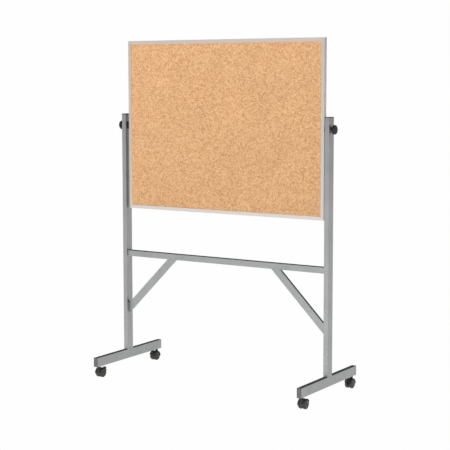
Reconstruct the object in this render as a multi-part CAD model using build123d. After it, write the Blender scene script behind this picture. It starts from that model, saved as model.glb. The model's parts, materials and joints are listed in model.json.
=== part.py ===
from build123d import *
import math
import os

# Mobile reversible board: a framed cork and dry-erase panel that turns over between two
# posts on a wheeled steel stand.  Millimetres.  X runs along the board, -Y is the cork
# side, +Z is up, and the origin is on the floor under the middle of the stand.

# ---- Driving dimensions: board ----
BOARD_W = 1219.2            # 48 in
BOARD_H = 914.4             # 36 in
BOARD_T = 20.0
RAIL_FACE = 19.0            # width of the frame seen from the front
RAIL_WEB = 2.0              # outer wall of the rail channel
RAIL_LIP = 1.8              # front and rear walls of the rail channel
RAIL_EDGE_R = 0.8
PANEL_INSET = 9.0           # from the board's outer edge to the edge of the sheets
CORK_T = 6.0
WHITEBOARD_T = 0.5
FIELD_RISE = 0.2            # the open face stands this far proud of its clamped edge
FIELD_GAP = 0.4             # from the open face's outline to the rail lips
KEY_LEG = 70.0
KEY_T = 6.5
PIVOT_Z = 1365.8            # height of the tilt axis, the middle of the board

# ---- Driving dimensions: stand ----
TUBE_X = 25.0               # posts and feet are 25 x 50 tube
TUBE_Y = 50.0
TUBE_WALL = 2.0
TUBE_R = 1.0                # outer corner radius of every tube
GAP = 10.8                  # from the board's edge to a post
FOOT_LEN = 592.0
FOOT_Z = 62.5               # underside of the feet
POST_TOP = 1428.8           # top of the post caps
CROSSBAR_SIZE = 31.5
CROSSBAR_TOP = 672.0
THIN_WALL = 1.5
BRACE_FACE = 38.0
BRACE_DEPTH = 16.0
BRACE_ANGLE = 45.0
BRACE_POST_Z = 347.5        # where a brace's centre line meets the post
CAP_FLANGE = 4.5
CAP_EDGE_R = 0.8
FOOT_CAP_FLANGE = 3.0
PLUG_LEN = 15.0
PLUG_GAP = 0.1

# ---- Driving dimensions: pivot and clamp knobs ----
STUD_R = 5.0
RUN_CLEAR = 0.05            # radial clearance of a running fit
PLATE_T = 6.5
PLATE_LEN = 90.0
DISC_R = 12.5
DISC_T = 5.8
BUSH_FLANGE_R = 20.0
BUSH_FLANGE_T = 4.6
BUSH_SLEEVE_R = 7.0
WASHER_R = 12.0
WASHER_T = 1.6
FACE_GAP = 0.05             # between faces that turn against each other
HUB_R = 12.0
HUB_LEN = 9.5
KNOB_R = 24.0
KNOB_LEN = 13.5
KNOB_FACE_R = 5.0           # rounding of the knob's outer edge
KNOB_BACK_R = 1.5
FLUTES = 24
FLUTE_R = 2.4
FLUTE_DEPTH = 0.8
STUD_IN_KNOB = 16.0

# ---- Driving dimensions: casters ----
WHEEL_R = 25.0
CASTER_W = 40.0             # over the two wheels
WEB_W = 12.0
WHEEL_SIDE_GAP = 0.5
AXLE_R = 3.0
AXLE_LEN = 33.0
TRAIL = 16.0                # from the stem's axis to the axle
STEM_INSET = 30.0           # from the end of the foot to the stem
STEM_R = 5.5
STEM_LEN = 35.0
COLLAR_R = 8.0
COLLAR_T = 2.6
SPIGOT_R = 4.0
SPIGOT_BOTTOM = 36.0
HOOD_IN_R = 26.0
HOOD_OUT_R = 27.5
BOSS_TOP = 59.4
SOCKET_R = 9.5
SOCKET_LEN = 40.0
LEVER_ANGLE = 33.0          # direction of the brake lever from the axle
LEVER_PIN_R = 21.5          # distance of its pin from the axle
LEVER_TIP_R = 44.0
LEVER_TAB_W = 20.0
LEVER_TAB_T = 3.6
LEVER_ARM_W = 7.6
LEVER_SLOT_W = 8.6
BRAKE_PIN_R = 1.5

# ---- Driving dimensions: post fixing bolts ----
BOLT_R = 4.0
BOLT_Y = 12.0
BOLT_LEN = 68.0
BOLT_HEAD_R = 7.0
BOLT_HEAD_H = 1.6
HEX_AF = 5.0                # key socket in the bolt head
HEX_DEPTH = 4.0
INSERT_LEN = 28.0

# ---- Places worked out from the above ----
FOOT_TOP = FOOT_Z + TUBE_Y
POST_IN = BOARD_W / 2 + GAP
POST_X = POST_IN + TUBE_X / 2
POST_OUT = POST_IN + TUBE_X
STEM_Y = FOOT_LEN / 2 - STEM_INSET
AXLE_Y = STEM_Y - TRAIL
CHANNEL_DEPTH = BOARD_T - 2 * RAIL_LIP
CORE_T = CHANNEL_DEPTH - CORK_T - WHITEBOARD_T
KNOB_BASE = POST_OUT + 2 * FACE_GAP + WASHER_T
STUD_END = BOARD_W / 2 - RAIL_WEB - PLATE_T + 0.3
HOLE_GAP = 0.1

SIDES = {"left": -1, "right": 1}
CORNERS = {
    "front_left": (-1, -1),
    "front_right": (1, -1),
    "rear_left": (-1, 1),
    "rear_right": (1, 1),
}
BRAKED = ("front_left", "rear_right")


def x_rod(radius, x0, x1):
    """A round bar along X."""
    bar = Cylinder(radius, x1 - x0, align=(Align.CENTER, Align.CENTER, Align.MIN))
    return Pos(x0, 0, 0) * Rot(0, 90, 0) * bar


def z_rod(radius, z0, z1):
    """A round bar along Z."""
    return Pos(0, 0, z0) * Cylinder(radius, z1 - z0, align=(Align.CENTER, Align.CENTER, Align.MIN))


def tube(width, depth, length, wall):
    """A rectangular tube along +Z with rounded corners."""
    outer = RectangleRounded(width, depth, TUBE_R)
    inner = RectangleRounded(width - 2 * wall, depth - 2 * wall, TUBE_R / 2)
    return extrude(outer - inner, length)


def plug(width, depth, flange, length):
    """A tube plug: a flange on top of z = 0 and a ribbed body below it."""
    top = extrude(RectangleRounded(width, depth, TUBE_R), flange)
    top = fillet(top.faces().sort_by(Axis.Z)[-1].edges(), CAP_EDGE_R)
    inner = 2 * TUBE_WALL + 2 * PLUG_GAP
    body = extrude(RectangleRounded(width - inner, depth - inner, TUBE_R / 2), -length)
    return top + body


def across(shape, side):
    """The shape made for the right-hand end, moved to the given side."""
    return shape if side > 0 else mirror(shape, Plane.YZ)


# ---- Board ----
def rail(length):
    """A mitred frame channel along X, with its outer web on z = 0 and its mouth upwards."""
    outer = Pos(0, RAIL_FACE / 2) * RectangleRounded(BOARD_T, RAIL_FACE, RAIL_EDGE_R)
    slot = Pos(0, (RAIL_WEB + RAIL_FACE) / 2) * Rectangle(CHANNEL_DEPTH, RAIL_FACE - RAIL_WEB)
    bar = extrude(Plane.YZ * (outer - slot), length / 2, both=True)
    mitre = Polygon(
        (-length / 2, 0),
        (length / 2, 0),
        (length / 2 - RAIL_FACE, RAIL_FACE),
        (-length / 2 + RAIL_FACE, RAIL_FACE),
        align=None,
    )
    return bar & extrude(Plane.XZ * mitre, BOARD_T, both=True)


def side_rail(side):
    upright = Pos(BOARD_W / 2, 0, 0) * Rot(0, -90, 0) * rail(BOARD_H)
    hole = x_rod(STUD_R + 1.0, BOARD_W / 2 - 2 * RAIL_WEB, BOARD_W / 2 + 1)
    return across(Pos(0, 0, PIVOT_Z) * (upright - hole), side)


def sheet(y0, thickness):
    """One flat layer of the panel, held in the rail channels."""
    layer = Box(BOARD_W - 2 * PANEL_INSET, thickness, BOARD_H - 2 * PANEL_INSET)
    return Pos(0, y0 + thickness / 2, PIVOT_Z) * layer


def faced_sheet(y0, thickness, facing):
    """A sheet whose open face stands slightly proud of the edge under the rail lips."""
    inset = RAIL_FACE + FIELD_GAP
    field = Box(BOARD_W - 2 * inset, thickness + FIELD_RISE, BOARD_H - 2 * inset)
    middle = y0 + thickness / 2 + facing * FIELD_RISE / 2
    return sheet(y0, thickness) + Pos(0, middle, PIVOT_Z) * field


def corner_keys():
    """Four L keys that join the rails inside their channels."""
    a, b, c = RAIL_WEB, RAIL_WEB + KEY_T, RAIL_WEB + KEY_LEG
    outline = Polygon((a, a), (c, a), (c, b), (b, b), (b, c), (a, c), align=None)
    key = extrude(Plane.XZ * outline, CHANNEL_DEPTH / 2 - PLUG_GAP, both=True)
    low_left = Pos(-BOARD_W / 2, 0, -BOARD_H / 2) * key
    low = [low_left, mirror(low_left, Plane.YZ)]
    keys = low + [mirror(k, Plane.XY) for k in low]
    return Compound(children=[Pos(0, 0, PIVOT_Z) * k for k in keys])


def pivot_plate(side):
    x1 = BOARD_W / 2 - RAIL_WEB
    block = Pos(x1 - PLATE_T / 2, 0, 0) * Box(PLATE_T, CHANNEL_DEPTH - 2 * PLUG_GAP, PLATE_LEN)
    bored = block - x_rod(STUD_R + RUN_CLEAR, x1 - PLATE_T - 1, x1 + 1)
    return across(Pos(0, 0, PIVOT_Z) * bored, side)


def friction_disc(side):
    x0 = BOARD_W / 2
    disc = x_rod(DISC_R, x0, x0 + DISC_T)
    disc = fillet(disc.faces().sort_by(Axis.X)[-1].edges(), 1.0)
    disc = disc - x_rod(STUD_R + RUN_CLEAR, x0 - 1, x0 + DISC_T + 1)
    return across(Pos(0, 0, PIVOT_Z) * disc, side)


# ---- Stand ----
def post(side):
    length = POST_TOP - CAP_FLANGE - FOOT_TOP
    upright = Pos(POST_X, 0, FOOT_TOP) * tube(TUBE_X, TUBE_Y, length, TUBE_WALL)
    hole = Pos(0, 0, PIVOT_Z) * x_rod(BUSH_SLEEVE_R + HOLE_GAP, POST_IN - 1, POST_OUT + 1)
    return across(upright - hole, side)


def foot(side):
    length = FOOT_LEN - 2 * FOOT_CAP_FLANGE
    beam = Rot(-90, 0, 0) * tube(TUBE_X, TUBE_Y, length, TUBE_WALL)
    beam = Pos(0, -length / 2, FOOT_Z + TUBE_Y / 2) * beam
    for y in (-BOLT_Y, BOLT_Y):
        beam -= Pos(0, y, 0) * z_rod(BOLT_R + HOLE_GAP, FOOT_Z - 1, FOOT_TOP + 1)
    for y in (-STEM_Y, STEM_Y):
        beam -= Pos(0, y, 0) * z_rod(STEM_R + HOLE_GAP, FOOT_Z - 1, FOOT_Z + TUBE_WALL + 1)
    return Pos(side * POST_X, 0, 0) * beam


def crossbar():
    bar = Rot(0, 90, 0) * tube(CROSSBAR_SIZE, CROSSBAR_SIZE, 2 * POST_IN, THIN_WALL)
    return Pos(-POST_IN, 0, CROSSBAR_TOP - CROSSBAR_SIZE / 2) * bar


def brace(side):
    """A flat tube at 45 degrees, cut flush with the post and the crossbar."""
    under_bar = CROSSBAR_TOP - CROSSBAR_SIZE
    reach = 1000.0
    bar = Pos(0, 0, -reach / 2) * tube(BRACE_FACE, BRACE_DEPTH, reach, THIN_WALL)
    bar = Pos(-POST_IN, 0, BRACE_POST_Z) * Rot(0, BRACE_ANGLE, 0) * bar
    room = Box(reach, TUBE_Y, reach, align=(Align.MIN, Align.CENTER, Align.MAX))
    return across(mirror(bar & Pos(-POST_IN, 0, under_bar) * room, Plane.YZ), side)


def post_cap(side):
    cap = plug(TUBE_X, TUBE_Y, CAP_FLANGE, PLUG_LEN)
    return Pos(side * POST_X, 0, POST_TOP - CAP_FLANGE) * cap


def foot_end_caps(side):
    cap = Rot(-90, 0, 0) * plug(TUBE_X, TUBE_Y, FOOT_CAP_FLANGE, PLUG_LEN)
    rear = Pos(side * POST_X, FOOT_LEN / 2 - FOOT_CAP_FLANGE, FOOT_Z + TUBE_Y / 2) * cap
    return Compound(children=[rear, mirror(rear, Plane.XZ)])


def pivot_bushing(side):
    flange = x_rod(BUSH_FLANGE_R, POST_IN - BUSH_FLANGE_T, POST_IN)
    sleeve = x_rod(BUSH_SLEEVE_R, POST_IN - BUSH_FLANGE_T, POST_OUT)
    bore = x_rod(STUD_R + RUN_CLEAR, POST_IN - 10, POST_OUT + 10)
    return across(Pos(0, 0, PIVOT_Z) * (flange + sleeve - bore), side)


def post_inserts():
    """A threaded block inside the bottom of each post."""
    inner_x = TUBE_X - 2 * TUBE_WALL - 2 * PLUG_GAP
    inner_y = TUBE_Y - 2 * TUBE_WALL - 2 * PLUG_GAP
    block = extrude(RectangleRounded(inner_x, inner_y, TUBE_R / 2), INSERT_LEN)
    for y in (-BOLT_Y, BOLT_Y):
        block -= Pos(0, y, 0) * z_rod(BOLT_R + HOLE_GAP, -1, INSERT_LEN + 1)
    return Compound(children=[Pos(s * POST_X, 0, FOOT_TOP) * block for s in SIDES.values()])


def post_bolts():
    """Flat-headed socket bolts up through the feet, two to a post."""
    solid = z_rod(BOLT_HEAD_R, -BOLT_HEAD_H, 0) + z_rod(BOLT_R, 0, BOLT_LEN)
    socket = Pos(0, 0, -BOLT_HEAD_H) * extrude(RegularPolygon(HEX_AF / math.sqrt(3), 6), HEX_DEPTH)
    bolt = Pos(0, 0, FOOT_Z) * (solid - socket)
    places = [(s * POST_X, y) for s in SIDES.values() for y in (-BOLT_Y, BOLT_Y)]
    return Compound(children=[Pos(x, y, 0) * bolt for x, y in places])


def caster_sockets():
    """A sleeve inside each end of each foot that grips the caster stem."""
    z0 = FOOT_Z + TUBE_WALL
    bore = z_rod(STEM_R + RUN_CLEAR, z0 - 1, z0 + SOCKET_LEN + 1)
    socket = z_rod(SOCKET_R, z0, z0 + SOCKET_LEN) - bore
    places = [(sx * POST_X, sy * STEM_Y) for sx, sy in CORNERS.values()]
    return Compound(children=[Pos(x, y, 0) * socket for x, y in places])


# ---- Clamp knobs ----
def knob(side):
    """A round fluted grip on a short hub; its stud hole is blind."""
    head = z_rod(KNOB_R, HUB_LEN, HUB_LEN + KNOB_LEN)
    head = fillet(head.faces().sort_by(Axis.Z)[-1].edges(), KNOB_FACE_R)
    head = fillet(head.faces().sort_by(Axis.Z)[0].edges(), KNOB_BACK_R)
    flute = z_rod(FLUTE_R, 0, HUB_LEN + KNOB_LEN + 1)
    centre = KNOB_R - FLUTE_DEPTH + FLUTE_R
    for i in range(FLUTES):
        head -= Rot(0, 0, i * 360 / FLUTES) * Pos(centre, 0, 0) * flute
    whole = head + z_rod(HUB_R, 0, HUB_LEN + 1) - z_rod(STUD_R + 0.02, -1, STUD_IN_KNOB)
    return across(Pos(KNOB_BASE, 0, PIVOT_Z) * Rot(0, 90, 0) * whole, side)


def knob_stud(side):
    """The steel stud that carries the board, from the pivot plate to inside the knob."""
    stud = x_rod(STUD_R, STUD_END, KNOB_BASE + STUD_IN_KNOB)
    return across(Pos(0, 0, PIVOT_Z) * stud, side)


def knob_washer(side):
    x0 = POST_OUT + FACE_GAP
    washer = x_rod(WASHER_R, x0, x0 + WASHER_T) - x_rod(STUD_R + HOLE_GAP, x0 - 1, x0 + 9)
    return across(Pos(0, 0, PIVOT_Z) * washer, side)


# ---- Casters, made with the axle over the origin and the stem towards -Y ----
def lever_point(distance, degrees=LEVER_ANGLE):
    """A point (y, z) at a distance and direction from the axle."""
    a = math.radians(degrees)
    return distance * math.cos(a), WHEEL_R + distance * math.sin(a)


def caster_hood(braked):
    half = CASTER_W / 2
    axle = Pos(0, 0, WHEEL_R)
    shell = axle * (x_rod(HOOD_OUT_R, -half, half) - x_rod(HOOD_IN_R, -half - 1, half + 1))
    keep = Polygon((-40, 20), (0, 25), (60, 45), (60, 90), (-40, 90), align=None)
    shell = shell & extrude(Plane.YZ * keep, half + 1, both=True)
    web = axle * x_rod(HOOD_IN_R + 0.5, -WEB_W / 2, WEB_W / 2)
    low = Pos(0, 0, -10) * Box(3 * WHEEL_R, 3 * WHEEL_R, 40)
    web = web - low
    boss = Pos(0, -TRAIL, 38) * Cone(
        WEB_W / 2 + 4, WEB_W / 2 + 1, BOSS_TOP - 38, align=(Align.CENTER, Align.CENTER, Align.MIN)
    )
    wheel_room = x_rod(HOOD_IN_R, WEB_W / 2, half + 1) + x_rod(HOOD_IN_R, -half - 1, -WEB_W / 2)
    hood = web + shell + (boss - axle * wheel_room)
    hood -= axle * x_rod(AXLE_R, -half, half)
    hood -= Pos(0, -TRAIL, 0) * z_rod(SPIGOT_R + RUN_CLEAR, SPIGOT_BOTTOM - 1, BOSS_TOP + 1)
    if braked:
        corners = [(15.5, -45), (60, -39), (60, 21), (15.5, 21), (13, -5)]
        wedge = Polygon(*(lever_point(r, LEVER_ANGLE + turn) for r, turn in corners), align=None)
        hood -= extrude(Plane.YZ * wedge, LEVER_SLOT_W / 2, both=True)
        y, z = lever_point(LEVER_PIN_R)
        hood -= Pos(0, y, z) * x_rod(BRAKE_PIN_R, -half, half)
    return hood


def caster_stem():
    collar = z_rod(COLLAR_R, FOOT_Z - COLLAR_T, FOOT_Z)
    spigot = z_rod(SPIGOT_R, SPIGOT_BOTTOM, FOOT_Z - COLLAR_T)
    grip = z_rod(STEM_R, FOOT_Z, FOOT_Z + STEM_LEN)
    return Pos(0, -TRAIL, 0) * (collar + spigot + grip)


def caster_axle():
    return Pos(0, 0, WHEEL_R) * x_rod(AXLE_R, -AXLE_LEN / 2, AXLE_LEN / 2)


def caster_wheel(side):
    """A wheel with a closed, slightly domed outer face and a hollow inner side."""
    x0 = WEB_W / 2 + WHEEL_SIDE_GAP
    x1 = CASTER_W / 2
    with BuildSketch(Plane.XZ) as section:
        with BuildLine():
            Polyline((x0, 7), (x0, 0), (x1, 0))
            ThreePointArc((x1, 0), (x1 - 0.3, 12), (x1 - 1.2, 21))
            Line((x1 - 1.2, 21), (x1 - 4, WHEEL_R))
            Line((x1 - 4, WHEEL_R), (x0 + 1, WHEEL_R))
            Line((x0 + 1, WHEEL_R), (x0, WHEEL_R - 1))
            Polyline((x0, WHEEL_R - 1), (x0, 21.5), (x1 - 5, 21.5), (x1 - 5, 7), (x0, 7))
        make_face()
    wheel = revolve(section.sketch, Axis.X) - x_rod(AXLE_R + RUN_CLEAR, 0, AXLE_LEN / 2 + 0.5)
    return across(Pos(0, 0, WHEEL_R) * wheel, side)


def brake_lever():
    """A radial arm on a pin, with a wide foot-operated tab outside the hood."""
    pin_y, pin_z = lever_point(LEVER_PIN_R)
    arm_len = LEVER_TIP_R - LEVER_PIN_R
    arm = Pos(0, 0, arm_len / 2) * Box(LEVER_ARM_W, LEVER_TAB_T, arm_len)
    tab_len = LEVER_TIP_R - HOOD_OUT_R - 1.5
    tab = Pos(0, 0, arm_len - tab_len / 2) * Box(LEVER_TAB_W, LEVER_TAB_T, tab_len)
    tab = fillet(tab.faces().sort_by(Axis.Z)[-1].edges(), 1.2)
    heel = x_rod(3.5, -LEVER_ARM_W / 2, LEVER_ARM_W / 2)
    lever = arm + tab + heel - x_rod(BRAKE_PIN_R + RUN_CLEAR, -10, 10)
    return Pos(0, pin_y, pin_z) * Rot(LEVER_ANGLE - 90, 0, 0) * lever


def brake_pin():
    y, z = lever_point(LEVER_PIN_R)
    return Pos(0, y, z) * x_rod(BRAKE_PIN_R, -WEB_W / 2 + 0.2, WEB_W / 2 - 0.2)


def at_corner(shape, corner):
    """Places a caster piece under a corner, trailing towards the middle of the foot."""
    sx, sy = CORNERS[corner]
    return Pos(sx * POST_X, sy * AXLE_Y, 0) * Rot(0, 0, 0 if sy < 0 else 180) * shape


def model():
    """Every piece of the object, by name."""
    half = CHANNEL_DEPTH / 2
    parts = {
        "crossbar": crossbar(),
        "post_inserts": post_inserts(),
        "post_bolts": post_bolts(),
        "caster_sockets": caster_sockets(),
        "bottom_rail": Pos(0, 0, PIVOT_Z - BOARD_H / 2) * rail(BOARD_W),
        "top_rail": Pos(0, 0, PIVOT_Z + BOARD_H / 2) * Rot(0, 180, 0) * rail(BOARD_W),
        "cork_sheet": faced_sheet(-half, CORK_T, -1),
        "core_panel": sheet(-half + CORK_T, CORE_T),
        "whiteboard_sheet": faced_sheet(half - WHITEBOARD_T, WHITEBOARD_T, 1),
        "corner_keys": corner_keys(),
    }
    for name, side in SIDES.items():
        parts[f"{name}_post"] = post(side)
        parts[f"{name}_foot"] = foot(side)
        parts[f"{name}_brace"] = brace(side)
        parts[f"{name}_post_cap"] = post_cap(side)
        parts[f"{name}_foot_end_caps"] = foot_end_caps(side)
        parts[f"{name}_pivot_bushing"] = pivot_bushing(side)
        parts[f"{name}_rail"] = side_rail(side)
        parts[f"{name}_pivot_plate"] = pivot_plate(side)
        parts[f"{name}_friction_disc"] = friction_disc(side)
        parts[f"{name}_knob"] = knob(side)
        parts[f"{name}_knob_stud"] = knob_stud(side)
        parts[f"{name}_knob_washer"] = knob_washer(side)
    for corner, (sx, sy) in CORNERS.items():
        parts[f"{corner}_caster_hood"] = at_corner(caster_hood(corner in BRAKED), corner)
        parts[f"{corner}_caster_stem"] = at_corner(caster_stem(), corner)
        parts[f"{corner}_caster_axle"] = at_corner(caster_axle(), corner)
        for name, side in SIDES.items():
            wheel = Pos(sx * POST_X, sy * AXLE_Y, 0) * caster_wheel(side)
            parts[f"{corner}_{name}_wheel"] = wheel
    for corner in BRAKED:
        parts[f"{corner}_brake_lever"] = at_corner(brake_lever(), corner)
        parts[f"{corner}_brake_pin"] = at_corner(brake_pin(), corner)
    return parts


os.makedirs("parts", exist_ok=True)
for node, shape in model().items():
    export_step(shape, f"parts/{node}.step")
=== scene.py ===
import json
import math
import random

import bmesh
import bpy
from mathutils import Matrix, Vector


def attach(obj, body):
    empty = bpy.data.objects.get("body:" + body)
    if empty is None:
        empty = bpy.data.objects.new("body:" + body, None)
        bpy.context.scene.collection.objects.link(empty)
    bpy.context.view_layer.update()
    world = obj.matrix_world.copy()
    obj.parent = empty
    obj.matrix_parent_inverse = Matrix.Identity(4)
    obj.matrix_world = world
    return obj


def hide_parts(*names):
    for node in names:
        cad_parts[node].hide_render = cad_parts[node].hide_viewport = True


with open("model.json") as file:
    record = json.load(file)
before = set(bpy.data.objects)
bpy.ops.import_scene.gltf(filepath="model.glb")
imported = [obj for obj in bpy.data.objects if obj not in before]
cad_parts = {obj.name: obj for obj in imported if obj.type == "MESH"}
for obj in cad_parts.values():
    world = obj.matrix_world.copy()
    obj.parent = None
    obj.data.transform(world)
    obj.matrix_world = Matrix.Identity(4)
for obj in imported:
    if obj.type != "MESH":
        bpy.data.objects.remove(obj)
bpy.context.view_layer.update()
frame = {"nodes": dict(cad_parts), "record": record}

MM = 0.001
SIDES = {"left": -1, "right": 1}
CORNERS = {
    "front_left": (-1, -1),
    "front_right": (1, -1),
    "rear_left": (-1, 1),
    "rear_right": (1, 1),
}
BRAKED = ("front_left", "rear_right")

# Positions of the colour sockets on a Mix node.
MIX_COLOR_A = 6
MIX_COLOR_B = 7
MIX_COLOR_OUT = 2


# ---------------------------------------------------------------- node helpers
class Shader:
    """A Principled material being built, with short ways to add nodes."""

    def __init__(self, name, color, roughness, metallic=0.0):
        self.material = bpy.data.materials.new(name)
        self.material.use_nodes = True
        self.tree = self.material.node_tree
        self.principled = self.tree.nodes["Principled BSDF"]
        self.set("Base Color", (*color, 1.0))
        self.set("Roughness", roughness)
        self.set("Metallic", metallic)

    def set(self, socket, value):
        """Sets a socket of the Principled shader to one value."""
        self.principled.inputs[socket].default_value = value

    def node(self, kind, **settings):
        made = self.tree.nodes.new(kind)
        for key, value in settings.items():
            setattr(made, key, value)
        return made

    def link(self, out, into):
        self.tree.links.new(out, into)

    def coordinates(self, stretch=(1.0, 1.0, 1.0)):
        """Object coordinates in metres, which is the shared frame."""
        source = self.node("ShaderNodeTexCoord")
        mapping = self.node("ShaderNodeMapping")
        mapping.inputs["Scale"].default_value = stretch
        self.link(source.outputs["Object"], mapping.inputs["Vector"])
        return mapping.outputs["Vector"]

    def noise(self, vector, scale, detail=2.0, roughness=0.5):
        made = self.node("ShaderNodeTexNoise")
        made.inputs["Scale"].default_value = scale
        made.inputs["Detail"].default_value = detail
        made.inputs["Roughness"].default_value = roughness
        self.link(vector, made.inputs["Vector"])
        return made.outputs["Fac"]

    def cells(self, vector, scale, feature="F1"):
        made = self.node("ShaderNodeTexVoronoi", feature=feature)
        made.inputs["Scale"].default_value = scale
        self.link(vector, made.inputs["Vector"])
        return made

    def ramp(self, value, stops):
        """A colour ramp; stops are (position, colour) with grey given as one number."""
        made = self.node("ShaderNodeValToRGB")
        elements = made.color_ramp.elements
        while len(elements) < len(stops):
            elements.new(0.5)
        for element, (position, color) in zip(elements, stops):
            element.position = position
            rgb = (color,) * 3 if isinstance(color, (int, float)) else color
            element.color = (*rgb, 1.0)
        self.link(value, made.inputs["Fac"])
        return made.outputs["Color"]

    def mix(self, factor, a, b, blend="MIX"):
        """Two colours mixed by a fixed factor."""
        made = self.node("ShaderNodeMix", data_type="RGBA", blend_type=blend)
        made.inputs["Factor"].default_value = factor
        self.link(a, made.inputs[MIX_COLOR_A])
        self.link(b, made.inputs[MIX_COLOR_B])
        return made.outputs[MIX_COLOR_OUT]

    def to_range(self, value, low, high):
        made = self.node("ShaderNodeMapRange")
        made.inputs["To Min"].default_value = low
        made.inputs["To Max"].default_value = high
        self.link(value, made.inputs["Value"])
        return made.outputs["Result"]

    def bump(self, height, distance, strength=1.0, below=None):
        made = self.node("ShaderNodeBump")
        made.inputs["Strength"].default_value = strength
        made.inputs["Distance"].default_value = distance
        self.link(height, made.inputs["Height"])
        if below is not None:
            self.link(below, made.inputs["Normal"])
        return made.outputs["Normal"]

    def into(self, out, socket):
        """Feeds a socket of the Principled shader."""
        self.link(out, self.principled.inputs[socket])


# ---------------------------------------------------------------- materials
def silver_paint():
    """Satin silver coat on the steel tubes, with fine flake and faint orange peel."""
    s = Shader("silver_coat", (0.42, 0.425, 0.43), 0.36, 0.92)
    place = s.coordinates()
    cloud = s.noise(place, 9.0, 3.0)
    tone = s.ramp(cloud, [(0.3, (0.40, 0.407, 0.41)), (0.7, (0.445, 0.45, 0.455))])
    flake = s.cells(place, 2600.0)
    flakes = s.ramp(flake.outputs["Color"], [(0.0, 0.93), (1.0, 1.07)])
    s.into(s.mix(1.0, tone, flakes, "MULTIPLY"), "Base Color")
    s.into(s.to_range(s.noise(place, 40.0, 4.0), 0.32, 0.42), "Roughness")
    s.into(s.bump(s.noise(place, 700.0, 2.0), 0.00006, 0.5), "Normal")
    return s.material


def frame_aluminium(name, along, dull, shine):
    """Satin anodised extrusion with faint die lines along one axis, between two tones."""
    s = Shader(name, shine, 0.42, 0.75)
    stretch = tuple(6.0 if axis == along else 1500.0 for axis in range(3))
    lines = s.noise(s.coordinates(stretch), 1.0, 3.0, 0.6)
    cloud = s.noise(s.coordinates(), 5.0, 2.0)
    tone = s.ramp(lines, [(0.25, dull), (0.75, shine)])
    s.into(tone, "Base Color")
    s.into(s.to_range(cloud, 0.38, 0.46), "Roughness")
    s.into(s.bump(lines, 0.00003, 0.6), "Normal")
    return s.material


def cork():
    """Granulated cork: packed grains of mixed size and tone, dark bark specks, fine pores."""
    s = Shader("granulated_cork", (0.76, 0.45, 0.22), 0.82)
    s.set("Specular IOR Level", 0.25)
    place = s.coordinates()
    warp = s.node("ShaderNodeVectorMath", operation="ADD")
    wobble = s.node("ShaderNodeTexNoise")
    wobble.inputs["Scale"].default_value = 260.0
    s.link(place, wobble.inputs["Vector"])
    shrink = s.node("ShaderNodeVectorMath", operation="SCALE")
    shrink.inputs["Scale"].default_value = 0.0032
    s.link(wobble.outputs["Color"], shrink.inputs[0])
    s.link(place, warp.inputs[0])
    s.link(shrink.outputs["Vector"], warp.inputs[1])
    bent = warp.outputs["Vector"]
    coarse = s.cells(bent, 150.0)
    medium = s.cells(bent, 290.0)
    small = s.cells(bent, 520.0)
    grain = s.mix(0.45, coarse.outputs["Color"], medium.outputs["Color"])
    grain = s.mix(0.22, grain, small.outputs["Color"])
    to_grey = s.node("ShaderNodeSeparateColor")
    s.link(grain, to_grey.inputs["Color"])
    tone = s.ramp(
        to_grey.outputs["Red"],
        [
            (0.12, (0.46, 0.226, 0.096)),
            (0.36, (0.64, 0.348, 0.162)),
            (0.55, (0.73, 0.420, 0.212)),
            (0.80, (0.83, 0.520, 0.295)),
        ],
    )
    speck = s.cells(bent, 95.0)
    bark = s.ramp(speck.outputs["Distance"], [(0.10, 0.62), (0.22, 1.0)])
    tone = s.mix(1.0, tone, bark, "MULTIPLY")
    edges = s.cells(bent, 230.0, "DISTANCE_TO_EDGE")
    seam = s.ramp(edges.outputs["Distance"], [(0.0, 0.86), (0.10, 1.0)])
    tone = s.mix(1.0, tone, seam, "MULTIPLY")
    cloud = s.ramp(s.noise(place, 6.0, 3.0), [(0.3, 0.965), (0.7, 1.03)])
    s.into(s.mix(1.0, tone, cloud, "MULTIPLY"), "Base Color")
    pores = s.noise(place, 1400.0, 3.0)
    rounded = s.ramp(edges.outputs["Distance"], [(0.0, 0.0), (0.16, 1.0)])
    low = s.bump(pores, 0.00025, 0.5)
    s.into(s.bump(rounded, 0.00035, 0.7, low), "Normal")
    return s.material


def dry_erase():
    """Gloss white enamel with a very slight waviness."""
    s = Shader("dry_erase_enamel", (0.86, 0.875, 0.88), 0.12)
    s.set("Coat Weight", 0.6)
    s.set("Coat Roughness", 0.06)
    place = s.coordinates()
    s.into(s.to_range(s.noise(place, 14.0, 3.0), 0.09, 0.17), "Roughness")
    s.into(s.bump(s.noise(place, 22.0, 2.0), 0.0004, 0.18), "Normal")
    return s.material


def plated_steel():
    """Zinc plate with a slightly uneven grey."""
    s = Shader("zinc_plated_steel", (0.58, 0.59, 0.61), 0.28, 1.0)
    place = s.coordinates()
    cloud = s.noise(place, 160.0, 3.0)
    tone = s.ramp(cloud, [(0.3, (0.50, 0.51, 0.53)), (0.7, (0.66, 0.67, 0.68))])
    s.into(tone, "Base Color")
    s.into(s.to_range(s.noise(place, 300.0, 3.0), 0.22, 0.38), "Roughness")
    return s.material


def moulded(name, color, roughness, grain=900.0, depth=0.00012):
    """Moulded plastic with a fine spark-eroded grain and a little tone variation."""
    s = Shader(name, color, roughness)
    place = s.coordinates()
    dark = tuple(c * 0.86 for c in color)
    light = tuple(c * 1.16 for c in color)
    s.into(s.ramp(s.noise(place, 60.0, 3.0), [(0.3, dark), (0.7, light)]), "Base Color")
    s.into(s.to_range(s.noise(place, 120.0, 2.0), roughness - 0.05, roughness + 0.07), "Roughness")
    s.into(s.bump(s.noise(place, grain, 2.0), depth, 0.5), "Normal")
    return s.material


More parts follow.
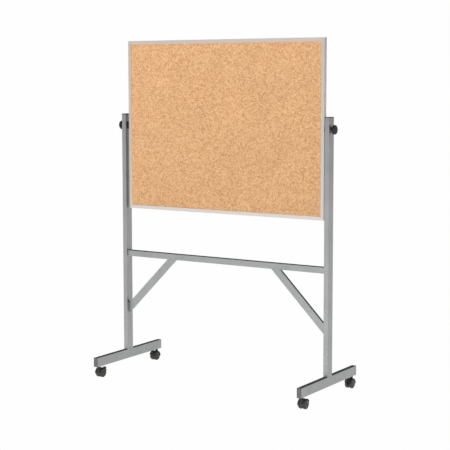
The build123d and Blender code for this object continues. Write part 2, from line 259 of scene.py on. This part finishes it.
MATERIALS = {
    "silver_tube": silver_paint(),
    "cork": cork(),
    "core_board": moulded("fibreboard", (0.30, 0.20, 0.12), 0.8),
    "dry_erase": dry_erase(),
    "plated_steel": plated_steel(),
    "grey_plastic": moulded("grey_cap_plastic", (0.135, 0.135, 0.125), 0.42),
    "dark_plastic": moulded("dark_cap_plastic", (0.055, 0.055, 0.055), 0.40),
    "nylon": moulded("grey_nylon", (0.040, 0.040, 0.038), 0.42),
    "black_rubber": moulded("friction_rubber", (0.016, 0.016, 0.015), 0.6),
    "knob_plastic": moulded("knob_plastic", (0.016, 0.016, 0.016), 0.42),
    "caster_plastic": moulded("caster_hood_plastic", (0.034, 0.034, 0.030), 0.40),
    "wheel_plastic": moulded("caster_wheel_nylon", (0.030, 0.030, 0.026), 0.33),
}
LEVEL_RAIL = frame_aluminium("frame_aluminium_level", 0, (0.80, 0.73, 0.67), (0.885, 0.81, 0.75))
# The upright rails and the board's sides have the same anodised finish as the level rails. Their copy
# of it is darker, which is painted shade.
UPRIGHT_RAIL_PAINTED_SHADE = frame_aluminium("frame_aluminium_upright_painted_shade", 2, (0.75, 0.67, 0.60), (0.83, 0.745, 0.675))
LEVEL_NODES = ("top_rail", "bottom_rail")


def paint(obj, material):
    """Gives an object one material in place of any it has."""
    obj.data.materials.clear()
    obj.data.materials.append(material)


def paint_cad_nodes():
    """Every CAD node takes the finish of its material slot; the upright frame rails take a darker
    copy of the frame aluminium, which is painted shade.
    """
    for row in frame["record"]["subparts"]:
        node = row["node"]
        slot = row["material_slot"]
        if slot == "frame_aluminium":
            # Upright rails get the darker copy, which is painted shade on the same finish.
            material = LEVEL_RAIL if node in LEVEL_NODES else UPRIGHT_RAIL_PAINTED_SHADE
        else:
            material = MATERIALS[slot]
        paint(frame["nodes"][node], material)


paint_cad_nodes()


# ---------------------------------------------------------------- places, in metres
POST_IN = 0.6204            # inner face of a post
POST_X = 0.6329             # middle of a post
PIVOT_Z = 1.3658            # the axis that the board tilts about
KNOB_BASE = 0.6471          # where a knob's hub starts
CROSSBAR_SIZE = 0.0315
CROSSBAR_TOP = 0.672
BRACE_FACE = 0.038
BRACE_DEPTH = 0.016
BRACE_ANGLE = math.radians(45.0)
BRACE_POST_Z = 0.3475       # where a brace's centre line meets the post
AXLE_Y = 0.250
AXLE_Z = 0.025


# ---------------------------------------------------------------- mesh helpers
def new_piece(name, mesh, body, material, sharp=35.0):
    """Links a mesh as a named piece on a body, smooth shaded but for its sharp edges."""
    obj = bpy.data.objects.new(name, mesh)
    bpy.context.scene.collection.objects.link(obj)
    mesh.shade_smooth()
    mesh.set_sharp_from_angle(angle=math.radians(sharp))
    paint(obj, material)
    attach(obj, body)
    return obj


def mesh_from(name, bm, matrix=Matrix.Identity(4)):
    """A mesh from bmesh, moved by a matrix, with its faces turned outwards."""
    bmesh.ops.transform(bm, matrix=matrix, verts=bm.verts)
    bmesh.ops.recalc_face_normals(bm, faces=bm.faces)
    mesh = bpy.data.meshes.new(name)
    bm.to_mesh(mesh)
    bm.free()
    return mesh


def plain_radius(angle, radius):
    """The radius of a round section, the same at every angle."""
    return radius


def turned_rings(bm, profile, segments, shape=plain_radius):
    """Rings of vertices about +X from (axial, radius) points in millimetres.

    A radius of 0 gives a single point. shape gives the radius at each angle.
    """
    rings = []
    for axial, radius in profile:
        if radius == 0:
            rings.append([bm.verts.new((axial * MM, 0, 0))])
            continue
        ring = []
        for i in range(segments):
            a = 2 * math.pi * i / segments
            r = shape(a, radius) * MM
            ring.append(bm.verts.new((axial * MM, r * math.cos(a), r * math.sin(a))))
        rings.append(ring)
    return rings


def join_all(bm, rings):
    """Faces from each ring to the next."""
    for low, high in zip(rings, rings[1:]):
        join_rings(bm, low, high)


def join_rings(bm, low, high):
    """Quads between two rings, or a fan where one of them is a single point."""
    count = max(len(low), len(high))
    for i in range(count):
        j = (i + 1) % count
        if len(low) == 1:
            bm.faces.new((low[0], high[i], high[j]))
        elif len(high) == 1:
            bm.faces.new((low[i], low[j], high[0]))
        else:
            bm.faces.new((low[i], low[j], high[j], high[i]))


# ---------------------------------------------------------------- clamp knobs
# Outlines are (axial, radius) in millimetres, from the inner end outwards.
KNOB_HUB = [(0.02, 11.4), (0.5, 11.95), (9.0, 11.95), (9.4, 12.6), (9.56, 16.0)]
KNOB_RIM = [(9.6, 21.6), (9.9, 23.0), (10.7, 23.7), (11.6, 23.9), (17.0, 23.96)]
KNOB_SHOULDER = [(18.8, 23.6), (20.4, 22.7), (21.7, 21.2), (22.5, 19.4), (22.9, 17.4), (22.96, 16.2)]
KNOB_DISH = [(22.5, 15.2), (22.3, 13.0), (22.3, 9.4), (22.6, 8.8)]
KNOB_BUTTON = [(22.96, 8.2), (22.98, 5.0), (22.98, 0)]
KNOB_PROFILE = KNOB_HUB + KNOB_RIM + KNOB_SHOULDER + KNOB_DISH + KNOB_BUTTON
FLUTES = 24
SEGMENTS_PER_FLUTE = 12
FLUTE_DEPTH = 0.75
FLUTE_STARTS = 20.5         # no flute inside this radius
FLUTE_FADES_OVER = 2.5      # full depth this much further out
STUD_HOLE_MOUTH = 0.02
STUD_HOLE_END = 15.9
STUD_HOLE_TIP = 0.05        # its bottom is this much deeper at the middle
STUD_HOLE_SCALE = 0.46      # stud hole radius over the radius of the hub's end


def knob_radius(angle, radius):
    """Flutes are cut in the rim only and run out on the rounded face."""
    fade = min(1.0, max(0.0, (radius - FLUTE_STARTS) / FLUTE_FADES_OVER))
    wave = (0.5 + 0.5 * math.cos(FLUTES * angle)) ** 2.0
    return radius - FLUTE_DEPTH * fade * wave


def facing_out(side):
    """Turns a piece made along +X to point away from the middle of the object."""
    return Matrix.Rotation(0 if side > 0 else math.pi, 4, "Z")


def make_knob(side_name, side):
    """A round fluted grip on its hub, with a dished face and a blind hole for the stud."""
    bm = bmesh.new()
    rings = turned_rings(bm, KNOB_PROFILE, SEGMENTS_PER_FLUTE * FLUTES, knob_radius)
    bore = []
    for vert in rings[0]:
        y = vert.co.y * STUD_HOLE_SCALE
        z = vert.co.z * STUD_HOLE_SCALE
        bore.append(bm.verts.new((STUD_HOLE_MOUTH * MM, y, z)))
    deep = [bm.verts.new((STUD_HOLE_END * MM, vert.co.y, vert.co.z)) for vert in bore]
    bottom = [bm.verts.new(((STUD_HOLE_END + STUD_HOLE_TIP) * MM, 0, 0))]
    join_all(bm, [bottom, deep, bore, *rings])
    name = f"{side_name}_knob_grip"
    place = Matrix.Translation((side * KNOB_BASE, 0, PIVOT_Z))
    mesh = mesh_from(name, bm, place @ facing_out(side))
    obj = new_piece(name, mesh, f"{side_name}_knob", MATERIALS["knob_plastic"], 60.0)
    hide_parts(f"{side_name}_knob")


# ---------------------------------------------------------------- casters
WHEEL_BORE = [(17.0, 0), (17.0, 3.06), (6.55, 3.06)]
WHEEL_HOLLOW = [(6.55, 7.0), (15.0, 7.0), (15.0, 21.3), (6.55, 21.3)]
WHEEL_TREAD = [(6.55, 24.2), (7.4, 24.98), (11.2, 24.98)]
WHEEL_TREAD_GROOVE = [(11.5, 24.5), (12.1, 24.5), (12.4, 24.98)]
WHEEL_SHOULDER = [(15.4, 24.98), (17.4, 24.3), (18.5, 23.2), (19.0, 21.8)]
WHEEL_SIDE_GROOVE = [(18.9, 21.0), (18.2, 20.5), (18.2, 19.7), (19.0, 19.2)]
WHEEL_DISC = [(19.2, 17.2), (18.9, 13.0), (18.7, 9.2)]
WHEEL_CAP = [(19.0, 7.9), (19.6, 7.2), (19.9, 5.6), (19.98, 2.6), (19.98, 0)]
WHEEL_PROFILE = (
    WHEEL_BORE + WHEEL_HOLLOW + WHEEL_TREAD + WHEEL_TREAD_GROOVE
    + WHEEL_SHOULDER + WHEEL_SIDE_GROOVE + WHEEL_DISC + WHEEL_CAP
)
WHEEL_SEGMENTS = 96


def make_wheel(corner, side_name, side):
    """A wheel with a grooved tread, a stepped hub and a hollow inner side."""
    sx, sy = CORNERS[corner]
    node = f"{corner}_{side_name}_wheel"
    bm = bmesh.new()
    join_all(bm, turned_rings(bm, WHEEL_PROFILE, WHEEL_SEGMENTS))
    place = Matrix.Translation((sx * POST_X, sy * AXLE_Y, AXLE_Z))
    mesh = mesh_from(f"{node}_body", bm, place @ facing_out(side))
    obj = new_piece(f"{node}_body", mesh, node, MATERIALS["wheel_plastic"], 30.0)
    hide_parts(node)


def make_moulding(node, body, voxel, rounds):
    """A softened copy of a CAD moulding: remeshed, smoothed and thinned."""
    mesh = frame["nodes"][node].data.copy()
    obj = bpy.data.objects.new(f"{node}_moulding", mesh)
    bpy.context.scene.collection.objects.link(obj)
    remesh = obj.modifiers.new("remesh", "REMESH")
    remesh.mode = "VOXEL"
    remesh.voxel_size = voxel
    remesh.adaptivity = 0.0
    smooth = obj.modifiers.new("smooth", "SMOOTH")
    smooth.factor = 0.5
    smooth.iterations = rounds
    thin = obj.modifiers.new("thin", "DECIMATE")
    thin.ratio = 0.3
    graph = bpy.context.evaluated_depsgraph_get()
    done = bpy.data.meshes.new_from_object(obj.evaluated_get(graph))
    bpy.data.objects.remove(obj)
    slot = "caster_plastic"
    made = new_piece(f"{node}_moulding", done, body, MATERIALS[slot], 50.0)
    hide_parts(node)


def make_casters():
    """Turned wheels, softened hoods and softened brake levers."""
    for corner in CORNERS:
        for side_name, side in SIDES.items():
            make_wheel(corner, side_name, side)
        make_moulding(f"{corner}_caster_hood", f"{corner}_caster", 0.6 * MM, 6)
    for corner in BRAKED:
        make_moulding(f"{corner}_brake_lever", f"{corner}_brake", 0.4 * MM, 3)


# ---------------------------------------------------------------- welds
BEAD_STEP = 1.1 * MM
BEAD_SIDES = 8
RIPPLE = 0.16
RIPPLE_TURN = 2.1           # radians of ripple from one step to the next
UNEVEN = 0.08


def loop_path(corners):
    """Points about a bead step apart round a closed loop of corners."""
    path = []
    for start, end in zip(corners, corners[1:] + corners[:1]):
        steps = max(2, int((end - start).length / BEAD_STEP))
        path.extend(start.lerp(end, i / steps) for i in range(steps))
    return path


def bead(name, corners, radius, seed):
    """A painted fillet weld along a closed flat loop: a rippled bead with a soft section."""
    rng = random.Random(seed)
    corners = [Vector(corner) for corner in corners]
    path = loop_path(corners)
    centre = sum(path, Vector()) / len(path)
    normal = (corners[1] - corners[0]).cross(corners[2] - corners[1]).normalized()
    bm = bmesh.new()
    rings = []
    for i, point in enumerate(path):
        along = path[(i + 1) % len(path)] - path[i - 1]
        out = along.cross(normal).normalized()
        if out.dot(point - centre) < 0:
            out = -out
        size = radius * (1.0 + RIPPLE * math.sin(RIPPLE_TURN * i) + rng.uniform(-UNEVEN, UNEVEN))
        ring = []
        for k in range(BEAD_SIDES):
            a = 2 * math.pi * k / BEAD_SIDES
            ring.append(bm.verts.new(point + size * (math.cos(a) * out + math.sin(a) * normal)))
        rings.append(ring)
    join_all(bm, [*rings, rings[0]])
    new_piece(name, mesh_from(name, bm), "stand", MATERIALS["silver_tube"], 180.0)


def upright_loop(x, y, z, high):
    """The corners of a rectangle in the plane of a post's inner face."""
    return [(x, -y, z - high), (x, y, z - high), (x, y, z + high), (x, -y, z + high)]


def level_loop(x, y, z, wide):
    """The corners of a rectangle in the plane of the crossbar's underside."""
    return [(x - wide, -y, z), (x + wide, -y, z), (x + wide, y, z), (x - wide, y, z)]


def make_welds():
    """Beads where the crossbar meets the posts and where the braces meet both."""
    half = CROSSBAR_SIZE / 2
    under = CROSSBAR_TOP - CROSSBAR_SIZE
    cut = BRACE_FACE / math.sin(BRACE_ANGLE) / 2
    deep = BRACE_DEPTH / 2
    for side_name, side in SIDES.items():
        x = side * POST_IN
        brace_x = side * (POST_IN - (under - BRACE_POST_Z))
        bar_end = upright_loop(x, half, CROSSBAR_TOP - half, half)
        brace_foot = upright_loop(x, deep, BRACE_POST_Z, cut)
        brace_head = level_loop(brace_x, deep, under, cut)
        bead(f"{side_name}_crossbar_weld", bar_end, 1.5 * MM, 3 + side)
        bead(f"{side_name}_brace_post_weld", brace_foot, 1.3 * MM, 7 + side)
        bead(f"{side_name}_brace_bar_weld", brace_head, 1.3 * MM, 11 + side)


# ---------------------------------------------------------------- softened CAD edges
EDGE_WIDTHS = {"crossbar": 0.3, "top_rail": 0.25, "bottom_rail": 0.25, "post_bolts": 0.3}
SIDE_EDGE_WIDTHS = {
    "rail": 0.25,
    "brace": 0.3,
    "post_cap": 0.5,
    "foot_end_caps": 0.5,
    "friction_disc": 0.3,
    "pivot_bushing": 0.4,
    "knob_washer": 0.25,
}
for side_word in SIDES:
    for piece_word, edge_width in SIDE_EDGE_WIDTHS.items():
        EDGE_WIDTHS[f"{side_word}_{piece_word}"] = edge_width


def soften_edges():
    """A small bevel on the sharp edges of the CAD nodes that are seen."""
    for node, width in EDGE_WIDTHS.items():
        bevel = frame["nodes"][node].modifiers.new("edge", "BEVEL")
        bevel.width = width * MM
        bevel.segments = 2
        bevel.limit_method = "ANGLE"
        bevel.angle_limit = math.radians(40.0)


for each_side, direction in SIDES.items():
    make_knob(each_side, direction)
make_casters()
make_welds()
soften_edges()


# ---------------------------------------------------------------- light and camera
CAMERA_PLACE = (3.5917, -5.5416, 1.6115)
CAMERA_YAW = 32.15
CAMERA_DOWN = 5.99
CAMERA_LENS = 100.45
CAMERA_SHIFT = (-0.0341, -0.0292)
SENSOR = 36.0
FAR_CLIP = 100.0


def make_camera():
    """The camera in front and to the right of the object, a little above the board's middle."""
    data = bpy.data.cameras.new("photo_camera")
    data.lens = CAMERA_LENS
    data.sensor_width = SENSOR
    data.shift_x, data.shift_y = CAMERA_SHIFT
    data.clip_end = FAR_CLIP
    camera = bpy.data.objects.new("photo_camera", data)
    camera.location = CAMERA_PLACE
    camera.rotation_euler = (math.radians(90.0 - CAMERA_DOWN), 0.0, math.radians(CAMERA_YAW))
    bpy.context.scene.collection.objects.link(camera)
    bpy.context.scene.camera = camera


# Light by direction, as (position, brightness).  By height, 0 is straight down and 1 straight
# up; by depth, 0 is straight to the front and 1 straight to the rear.
WORLD_BY_HEIGHT = [
    (0.0, 0.74), (0.42, 0.83), (0.47, 0.95), (0.495, 0.97),
    (0.5, 0.008), (0.68, 0.010), (0.78, 0.13), (0.88, 0.32),
]
WORLD_BY_DEPTH = [(0.04, 1.0), (0.06, 0.88), (0.08, 0.70), (0.12, 0.67), (0.95, 0.56)]
WORLD_STRENGTH = 1.82
BACKDROP = 0.99             # the white that the camera sees


def world_ramp(tree, value, stops):
    """A grey ramp over one part of the direction, which runs from -1 to 1."""
    half = tree.nodes.new("ShaderNodeMapRange")
    half.inputs["From Min"].default_value = -1.0
    ramp = tree.nodes.new("ShaderNodeValToRGB")
    while len(ramp.color_ramp.elements) < len(stops):
        ramp.color_ramp.elements.new(0.5)
    for element, (position, grey) in zip(ramp.color_ramp.elements, stops):
        element.position = position
        element.color = (grey, grey, grey, 1.0)
    tree.links.new(value, half.inputs["Value"])
    tree.links.new(half.outputs["Result"], ramp.inputs["Fac"])
    return ramp.outputs["Color"]


def make_world():
    """White behind the object; around it a bright floor, dark low walls and a pale ceiling."""
    world = bpy.data.worlds.new("studio")
    bpy.context.scene.world = world
    world.use_nodes = True
    tree = world.node_tree
    tree.nodes.clear()
    links = tree.links
    out = tree.nodes.new("ShaderNodeOutputWorld")
    seen = tree.nodes.new("ShaderNodeBackground")
    seen.inputs["Color"].default_value = (1.0, 1.0, 1.0, 1.0)
    seen.inputs["Strength"].default_value = BACKDROP
    lit = tree.nodes.new("ShaderNodeBackground")
    lit.inputs["Strength"].default_value = WORLD_STRENGTH
    source = tree.nodes.new("ShaderNodeTexCoord")
    split = tree.nodes.new("ShaderNodeSeparateXYZ")
    links.new(source.outputs["Generated"], split.inputs["Vector"])
    height = world_ramp(tree, split.outputs["Z"], WORLD_BY_HEIGHT)
    depth = world_ramp(tree, split.outputs["Y"], WORLD_BY_DEPTH)
    both = tree.nodes.new("ShaderNodeMix")
    both.data_type = "RGBA"
    both.blend_type = "MULTIPLY"
    both.inputs["Factor"].default_value = 1.0
    links.new(height, both.inputs[MIX_COLOR_A])
    links.new(depth, both.inputs[MIX_COLOR_B])
    links.new(both.outputs[MIX_COLOR_OUT], lit.inputs["Color"])
    ray = tree.nodes.new("ShaderNodeLightPath")
    choose = tree.nodes.new("ShaderNodeMixShader")
    links.new(ray.outputs["Is Camera Ray"], choose.inputs["Fac"])
    links.new(lit.outputs["Background"], choose.inputs[1])
    links.new(seen.outputs["Background"], choose.inputs[2])
    links.new(choose.outputs["Shader"], out.inputs["Surface"])


LIT_POINT = Vector((0, 0, 1.0))


def make_area_light(name, place, size, power):
    """A soft light on the middle of the object, which glossy surfaces don't mirror."""
    data = bpy.data.lights.new(name, "AREA")
    data.shape = "RECTANGLE"
    data.size, data.size_y = size
    data.energy = power
    lamp = bpy.data.objects.new(name, data)
    lamp.location = place
    aim = LIT_POINT - Vector(place)
    lamp.rotation_euler = aim.to_track_quat("-Z", "Y").to_euler()
    lamp.visible_glossy = False
    bpy.context.scene.collection.objects.link(lamp)


make_camera()
make_world()
make_area_light("key", (-2.5, -5.5, 4.6), (3.0, 3.0), 268.0)
make_area_light("fill", (4.5, -3.5, 3.8), (3.0, 3.0), 75.0)
make_area_light("rear", (5.0, 4.5, 3.6), (3.0, 2.5), 120.0)
bpy.context.scene.view_settings.view_transform = "Standard"
